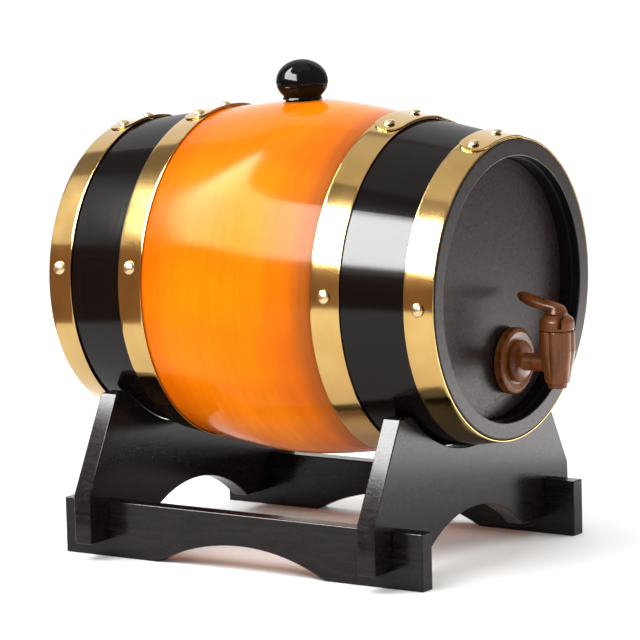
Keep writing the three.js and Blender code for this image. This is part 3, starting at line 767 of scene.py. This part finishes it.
def make_bung():
    """A flattened ball with a fine seam under its girth, on a short neck that flares to its seat."""
    radius = size("bung_knob").x / 2
    foot = low("bung_knob").z
    top = high("bung_knob").z
    girth = foot + (top - foot) * BUNG_GIRTH
    place = Matrix.Translation((BUNG.x, BUNG.y, 0))
    turns = [pi / 2 * i / 20 for i in range(1, 20)]
    upper = [(radius * cos(t), girth + (top - girth) * sin(t)) for t in turns]
    drop = 12  # how far below the girth the ball's lower half would reach
    turns = [0.74 * i / 8 for i in range(9)]
    lower = [(radius * cos(t), girth - drop * sin(t)) for t in turns]
    across, height = lower[2]
    seam = [(across + 0.02, height + 0.35), (across - 0.35, height), (across - 0.1, height - 0.35)]
    flare = [(10.7, 1.5), (10.75, 1.1), (11.1, 0.45), (11.3, 0.15), (11.2, 0)]
    neck = [(distance, foot + up) for distance, up in flare]
    socket_top = foot + SOCKET_DEPTH
    socket = [(SOCKET_RADIUS, foot), (SOCKET_RADIUS, socket_top), (0, socket_top)]
    body = [(0, top), *upper[::-1], *lower[:2], *seam, *lower[3:], *neck, *socket]
    knob = to_object("bung_knob_fine", lathe(body, 128, closed=False), place)
    knob.data.materials.append(BUNG_BLACK)
    finished(knob, "bung", "bung_lacquer", "bung_knob")

    tip = low("bung_plug").z
    shoulder = foot - 0.2
    dowel_top = high("bung_plug").z
    tip_radius, shoulder_radius = BUNG_PLUG_RADII
    plug = rounded([
        (0, tip), (tip_radius, tip, 1.2), (shoulder_radius, shoulder, 0.4),
        (DOWEL_RADIUS, shoulder, 0), (DOWEL_RADIUS, dowel_top, 0.6), (0, dowel_top),
    ], 0.5, closed=False)
    made = to_object("bung_plug_fine", lathe(plug, 96, closed=False), place)
    made.data.materials.append(BUNG_BLACK)
    finished(made, "bung", "bung_lacquer", "bung_plug")


# ---- Tap ----


def tap_part(node, obj, body="barrel", slot="tap_plastic", material=None):
    obj.data.materials.clear()
    obj.data.materials.append(material or TAP_BROWN)
    return finished(obj, body, slot, node)


def along_tap(y=0):
    """Turning about Z becomes turning about the tap's shank."""
    return Matrix.Translation((TAP.x, y, TAP.z)) @ ALONG_BARREL


def upright(y=KEY_Y):
    return Matrix.Translation((TAP.x, y, TAP.z))


def ring(node, inner, outer, eased):
    start, end = low(node).y, high(node).y
    outline = rounded([(inner, start), (outer, start), (outer, end), (inner, end)], eased)
    return to_object(f"{node}_fine", lathe(outline, 96), along_tap())


def make_tap_fixings():
    for node, radius in (("tap_outer_seal", SEAL_RADIUS), ("tap_inner_seal", NUT_RADIUS)):
        tap_part(node, ring(node, STUD_BORE, radius, 0.3), slot="seal_rubber", material=RUBBER)
    start, end = low("tap_nut").y, high("tap_nut").y
    hexagon = rod(NUT_RADIUS, start, end, 6)
    nut = bevelled(to_object("tap_nut_fine", hexagon, along_tap()), 0.5)
    hole = to_object("hole", rod(STUD_BORE, start - 2, end + 2, 48), along_tap())
    tap_part("tap_nut", combine(nut, [hole]))


def make_tap_flange():
    """A disc with a finely ribbed edge and a slightly dished face."""
    back, front = high("tap_flange").y, low("tap_flange").y
    radius = size("tap_flange").x / 2
    ridges = 72

    def ridge(angle, point):
        at_edge = point[0] > radius - 0.8 and point[1] < back - 0.3
        return 1 - 0.022 * abs(sin(ridges * angle / 2)) if at_edge else 1

    dish = front + 0.5
    outline = rounded([
        (STUD_BORE, back), (radius, back, 0.25), (radius, front + 0.6, 0.9),
        (16.2, front, 0.6), (13, dish, 0.5), (STUD_BORE, dish),
    ], 0.2)
    flange = to_object("tap_flange_fine", lathe(refine(outline, 1.2), ridges * 6, wave=ridge), along_tap())
    tap_part("tap_flange", flange)


def tap_stem():
    """Stud, domed boss and shank, up to the upright body's axis."""
    boss_back = low("tap_flange").y - 0.1
    stud_end = high("tap_body").y
    boss_front = boss_back - 4.2
    dome_steps = [(pi / 2 * i / 8) for i in range(1, 8)]
    boss = [(5.6 + 6.2 * sin(t), boss_front + 3.2 * (1 - cos(t))) for t in dome_steps]
    outline = [
        (0, KEY_Y), (TAP_SHANK_RADIUS, KEY_Y), (TAP_SHANK_RADIUS, boss_front - 0.5),
        (5.1, boss_front - 0.15), *boss,
        (BOSS_RADIUS, boss_back - 0.9), (BOSS_RADIUS, boss_back - 0.1), (11.7, boss_back),
        (STUD_RADIUS, boss_back), (STUD_RADIUS, stud_end - 0.6), (5.4, stud_end), (0, stud_end),
    ]
    return lathe(outline, 72, closed=False)


def tap_upright():
    """The upright body: fluted like a closed flower, tapering to a stepped nozzle."""
    flutes = 8

    def petal(angle, point):
        across = (angle / TURN * flutes) % 1 - 0.5
        depth = 0.115 * min(max((point[1] + 10) / 22, 0), 1) ** 0.6
        inside = point[0] > 5.7 and point[1] < 18.7
        return 1 - depth * (2 * abs(across)) ** 2.4 if inside else 1

    shape = rounded([
        (0, NOZZLE_BOTTOM), (5.1, NOZZLE_BOTTOM, 0.4), (NOZZLE_RADIUS, -12, 0.3),
        (NOZZLE_RADIUS, TAP_FOOT, 0.2), (TAP_FOOT_RADIUS, TAP_FOOT, 0.5),
        (TAP_TOP_RADIUS, 7.5, 4), (TAP_TOP_RADIUS, TAP_TOP, 0.8), (0, TAP_TOP),
    ], 0.3, 5, closed=False)
    shape = refine(shape, 1.5)
    return lathe(shape, flutes * 16, wave=petal, closed=False)


def refine(points, longest):
    """Adds points so that no step of an outline is longer than this."""
    made = [points[0]]
    for point in points[1:]:
        last = made[-1]
        length = hypot(point[0] - last[0], point[1] - last[1])
        count = max(int(length / longest) + 1, 1)
        made += [tuple(a + (b - a) * i / count for a, b in zip(last, point)) for i in range(1, count + 1)]
    return made


def make_tap_body():
    body = to_object("tap_body_fine", tap_upright(), upright())
    stem = to_object("stem", tap_stem(), along_tap())
    combine(body, [stem], "UNION", solver="MANIFOLD")
    stud_end = high("tap_body").y
    holes = [
        to_object("hole", rod(KEY_BORE_RADIUS, KEY_BORE_FOOT, TAP_TOP + 3, 64), upright()),
        to_object("hole", rod(CHANNEL_RADIUS, -20, 0, 40), upright()),
        to_object("hole", rod(CHANNEL_RADIUS, KEY_Y, stud_end + 2, 40), along_tap()),
    ]
    tap_part("tap_body", combine(body, holes, solver="MANIFOLD"))


def make_tap_key():
    """The turning plug with its domed collar, slit towards the front."""
    crown = high("tap_key").z - TAP.z
    outline = rounded([
        (0, KEY_TIP), (KEY_RADIUS, KEY_TIP, 0.3), (KEY_RADIUS, KEY_FOOT, 0),
        (9.3, KEY_FOOT, 0.3), (9.8, KEY_FOOT + 0.9, 0.8), (9.7, KEY_FOOT + 5.6, 3.5),
        (7.0, crown - 0.5, 2.5), (5.6, crown, 0.4), (0, crown),
    ], 0.5, 6, closed=False)
    key = to_object("tap_key_fine", lathe(outline, 96, closed=False), upright())
    slit_place = Matrix.Translation((TAP.x, KEY_Y - SLIT_OFFSET, TAP.z + crown))
    crosswise = upright() @ Matrix.Rotation(pi / 2, 4, "Y")
    cuts = [
        to_object("slit", brick(30, SLIT_WIDTH, 15), slit_place),
        to_object("hole", rod(CHANNEL_RADIUS, -12, 12, 40), crosswise),
        to_object("hole", rod(CHANNEL_RADIUS, -20, 0, 40), upright()),
        to_object("hole", rod(PEG_RADIUS + 0.1, crown - 5.2, crown + 2, 32), upright()),
    ]
    combine(key, cuts)
    tap_part("tap_key", bevelled(key, 0.15, 2), body="tap_turning_part")


def handle_mesh():
    """A thumb lever: an oval blade, thicker and raised towards the barrel, dished on top."""
    stations, around = 40, 48
    bm = bmesh.new()
    rings = []
    for i in range(stations + 1):
        t = 0.5 - 0.5 * cos(pi * (0.015 + 0.97 * i / stations))
        blunt = sqrt(max(1 - abs(2 * t - 1) ** 3.2, 0))
        width = (4.3 + 2.0 * t) * blunt
        height = (2.5 + 1.0 * t) * blunt
        along = HANDLE_LENGTH * t
        sag = 1.4 * (2 * t - 1) ** 2
        dish = 1.0 * max(0, 1 - ((t - 0.6) / 0.3) ** 2)
        ring_points = []
        for j in range(around):
            a = TURN * j / around
            x = width * (abs(cos(a)) ** 0.85) * (1 if cos(a) > 0 else -1)
            z = height * (abs(sin(a)) ** 0.85) * (1 if sin(a) > 0 else -1)
            hollow = dish * max(0, 1 - (x / (width * 0.75 + 1e-6)) ** 2) if z > 0 else 0
            ring_points.append(bm.verts.new((x, along, z + sag - hollow)))
        rings.append(ring_points)
    for ring_a, ring_b in zip(rings, rings[1:]):
        for j in range(around):
            k = (j + 1) % around
            bm.faces.new((ring_a[j], ring_a[k], ring_b[k], ring_b[j]))
    bm.faces.new(rings[0])
    bm.faces.new(rings[-1])
    return bm


def make_tap_handle():
    crown = high("tap_key").z
    front = low("tap_handle").y
    front_end = Matrix.Translation((TAP.x, front + 0.2, crown + 1.7))
    tilt = Matrix.Rotation(HANDLE_TILT, 4, "X")
    lever = to_object("tap_handle_fine", handle_mesh(), front_end @ tilt)
    on_key = Matrix.Translation((TAP.x, KEY_Y, crown))
    neck_outline = rounded([
        (0, 0.1), (6.2, 0.1, 0.3), (5.4, 2.4, 1.5), (4.6, 4.0), (0, 4.0),
    ], 0.3, 5, closed=False)
    neck = to_object("neck", lathe(neck_outline, 64, closed=False), on_key)
    peg = to_object("peg", rod(PEG_RADIUS, -4.9, 3, 32), on_key)
    combine(lever, [neck, peg], "UNION")
    tap_part("tap_handle", lever, body="tap_turning_part")


# ---- Stand ----


def notch(middle, half, edge, floor):
    """A slot cut into a board from its edge, as points from left to right."""
    left, right = middle - half, middle + half
    return [(left, edge), (left, floor), (right, floor), (right, edge)]


def rail_outline():
    length = size("left_rail").y
    height = high("left_rail").z
    offset = (centre("rear_cradle").y - centre("front_cradle").y) / 2
    half_slot = size("front_cradle").y / 2 + SLOT_GAP
    bottom = [(-length / 2, 0), *arch(*RAIL_ARCH, 0), (length / 2, 0)]
    slots = [notch(side, half_slot, height, RAIL_SLOT)[::-1] for side in (offset, -offset)]
    return [*bottom, (length / 2, height), *slots[0], *slots[1], (-length / 2, height)]


def cradle_outline():
    foot = size("front_cradle").x / 2
    top = high("front_cradle").z
    inner_face = abs(centre("rear_cradle").y - BARREL_Y) - size("rear_cradle").y / 2
    saddle = stave_radius(inner_face) + 0.15
    lip = asin((AXIS_Z - top) / saddle)
    sweep = pi - 2 * lip
    round_part = [-lip - sweep * i / 72 for i in range(73)]
    saddle_points = [(saddle * cos(a), AXIS_Z + saddle * sin(a)) for a in round_part]
    rail = abs(centre("left_rail").x)
    half_slot = size("left_rail").x / 2 + SLOT_GAP
    left, right = (notch(side, half_slot, CRADLE_BOTTOM, CRADLE_SLOT) for side in (-rail, rail))
    return [
        (foot, CRADLE_BOTTOM), (foot, CRADLE_KINK), (CRADLE_TOP_HALF, top), *saddle_points,
        (-CRADLE_TOP_HALF, top), (-foot, CRADLE_KINK), (-foot, CRADLE_BOTTOM),
        *left, *arch(*CRADLE_ARCH, CRADLE_BOTTOM), *right,
    ]


def make_stand():
    for node in ("front_cradle", "rear_cradle"):
        board = extrude(cradle_outline(), size(node).y)
        cradle = to_object(f"{node}_fine", board, Matrix.Translation((0, centre(node).y, 0)))
        cradle.data.materials.append(STAND)
        finished(bevelled(cradle, STAND_EASE), "stand", "stand_stain", node)
    for node in ("left_rail", "right_rail"):
        board = extrude(rail_outline(), size(node).x)
        spot = Matrix.Translation((centre(node).x, centre(node).y, 0))
        place = spot @ Matrix.Rotation(pi / 2, 4, "Z")
        rail = to_object(f"{node}_fine", board, place)
        rail.data.materials.append(STAND)
        finished(bevelled(rail, STAND_EASE), "stand", "stand_stain", node)


# ---- Studio ----


def make_camera():
    """Long lens from the barrel's left front, a little above it."""
    azimuth, elevation, roll = radians(-56.6), radians(8.92), radians(-1.47)
    aim = Vector((0, 0.0148, 0.1292))
    distance = 2.388
    back = Vector((sin(azimuth) * cos(elevation), -cos(azimuth) * cos(elevation), sin(elevation)))
    camera = bpy.data.objects.new("camera", bpy.data.cameras.new("camera"))
    camera.data.lens = 235.9
    camera.data.sensor_width = 36
    camera.location = aim + back * distance
    camera.rotation_mode = "QUATERNION"
    level = (-back).to_track_quat("-Z", "Y")
    camera.rotation_quaternion = level @ Matrix.Rotation(roll, 3, "Z").to_quaternion()
    camera.data.clip_start = 0.05
    bpy.context.scene.collection.objects.link(camera)
    bpy.context.scene.camera = camera


def softbox(name, towards, distance, width, height, power, glossy=False):
    """An area light that faces the barrel. The camera doesn't see it, and reflections may."""
    light = bpy.data.lights.new(name, "AREA")
    light.shape = "RECTANGLE"
    light.size = width
    light.size_y = height
    light.energy = power
    made = bpy.data.objects.new(name, light)
    aim = Vector((0, BARREL_Y * MM, AXIS_Z * MM))
    towards = Vector(towards).normalized()
    made.location = aim + towards * distance
    made.rotation_mode = "QUATERNION"
    made.rotation_quaternion = towards.to_track_quat("Z", "Y")
    made.visible_camera = False
    made.visible_glossy = glossy
    bpy.context.scene.collection.objects.link(made)


def direction(azimuth, elevation):
    """Direction from the barrel, with azimuth from -X towards +Y, in degrees."""
    around, up = radians(azimuth), radians(elevation)
    return Vector((-cos(around) * cos(up), sin(around) * cos(up), sin(up)))


def card(name, corners, faces, colour, strength):
    """A card that only reflections see, as set around any polished metal."""
    mesh = bpy.data.meshes.new(name)
    mesh.from_pydata(corners, [], faces)
    made = bpy.data.objects.new(name, mesh)
    look = Look(name, roughness=1.0, specular=0.0)
    look.set(Base_Color=(0, 0, 0, 1), Emission_Color=(*colour, 1), Emission_Strength=strength)
    mesh.materials.append(look.material)
    made.visible_camera = False
    made.visible_diffuse = False
    made.visible_shadow = False
    made.visible_transmission = False
    bpy.context.scene.collection.objects.link(made)


def hung_card(name, spots, strength):
    """A white card with its corners in the given directions, 1.7 m from the barrel."""
    middle = Vector((0, BARREL_Y * MM, AXIS_Z * MM))
    corners = [middle + 1.7 * direction(*spot) for spot in spots]
    card(name, corners, [tuple(range(len(corners)))], (1, 1, 1), strength)


def make_flag():
    """A dark wood-brown card that stands left of the table."""
    posts = ((-25, 1.0, 0.42), (16, 0.95, 0.42), (37, 0.5, 0.33), (60, 0.38, 0.22), (85, 0.38, 0.2))
    corners = []
    for azimuth, distance, height in posts:
        foot = direction(azimuth, 0) * distance + Vector((0, BARREL_Y * MM, 0))
        corners += [(foot.x, foot.y, 0.003), (foot.x, foot.y, height)]
    strips = [(i, i + 1, i + 3, i + 2) for i in range(0, len(corners) - 2, 2)]
    card("flag", corners, strips, (1, 0.58, 0.38), 0.42)


def make_right_cards():
    """A bright card flat on the table, right of the head, and a grey one standing behind it."""
    away = Vector((0.835, -0.55, 0))
    across = Vector((0.55, 0.835, 0))
    head = Vector((TAP.x * MM, low("front_head").y * MM, 0.003))
    corners = ((0.25, -0.3), (0.72, -0.3), (0.72, 0.3), (0.25, 0.3))
    spots = [head + away * far + across * wide for far, wide in corners]
    card("table_card", spots, [(0, 1, 2, 3)], (1, 0.97, 0.96), 6.5)
    feet = [head + away * 1.0 + across * wide for wide in (-0.7, 0.7)]
    tops = [foot + Vector((0, 0, 0.55)) for foot in feet]
    card("grey_card", [*feet, *reversed(tops)], [(0, 1, 2, 3)], (1, 0.9, 0.88), 0.4)


def make_floor():
    """A round pale table top. The room behind it is as white as the camera sees the table."""
    radius, steps = 2.0, 128
    rim = [(radius * cos(TURN * i / steps), radius * sin(TURN * i / steps), 0) for i in range(steps)]
    mesh = bpy.data.meshes.new("floor")
    mesh.from_pydata(rim, [], [tuple(range(steps))])
    floor = bpy.data.objects.new("floor", mesh)
    look = Look("floor", roughness=0.9, specular=0.1)
    look.set(Base_Color=(0.93, 0.93, 0.93, 1))
    mesh.materials.append(look.material)
    bpy.context.scene.collection.objects.link(floor)


ROOM_LIGHT = (0.62, 0.62, 0.62, 1)
REFLECTED_ROOM = (0.36, 0.32, 0.31, 1)
WHITE = (1.05, 1.05, 1.05, 1)


def backdrop(tree, colour):
    made = tree.nodes.new("ShaderNodeBackground")
    made.inputs["Color"].default_value = colour
    return made.outputs[0]


def make_world():
    world = bpy.data.worlds.new("studio")
    world.use_nodes = True
    tree = world.node_tree
    path = tree.nodes.new("ShaderNodeLightPath")
    shade = backdrop(tree, ROOM_LIGHT)
    for ray, colour in (("Is Glossy Ray", REFLECTED_ROOM), ("Is Camera Ray", WHITE)):
        choice = tree.nodes.new("ShaderNodeMixShader")
        tree.links.new(path.outputs[ray], choice.inputs[0])
        tree.links.new(shade, choice.inputs[1])
        tree.links.new(backdrop(tree, colour), choice.inputs[2])
        shade = choice.outputs[0]
    tree.links.new(shade, tree.nodes["World Output"].inputs["Surface"])
    bpy.context.scene.world = world
    bpy.context.scene.view_settings.view_transform = "Standard"


def make_studio():
    make_camera()
    make_world()
    make_floor()
    make_flag()
    make_right_cards()
    hung_card("left_card", ((-10, 14), (51, 18), (70, 40), (90, 62), (50, 53), (27, 50), (0, 50)), 52)
    hung_card("rear_card", ((53, 10), (75, 14), (88, 40), (70, 36)), 1.4)
    hung_card("back_card", ((105, 2), (150, -3), (190, 2), (190, 45), (150, 52), (112, 50)), 1.4)
    softbox("left_softbox", (-0.485, 0.379, 0.788), 1.7, 1.66, 1.1, 28)
    softbox("front_softbox", (0.75, -0.85, 0.4), 2.0, 1.8, 1.5, 17)
    softbox("ceiling", (0, 0, 1), 3.0, 7.0, 7.0, 95)
    softbox("overhead", (0.05, 0.1, 1), 1.7, 1.5, 1.5, 5, glossy=True)


make_studio()
make_staves()
make_heads()
make_hoops()
make_bung()
make_tap_fixings()
make_tap_flange()
make_tap_body()
make_tap_key()
make_tap_handle()
make_stand()
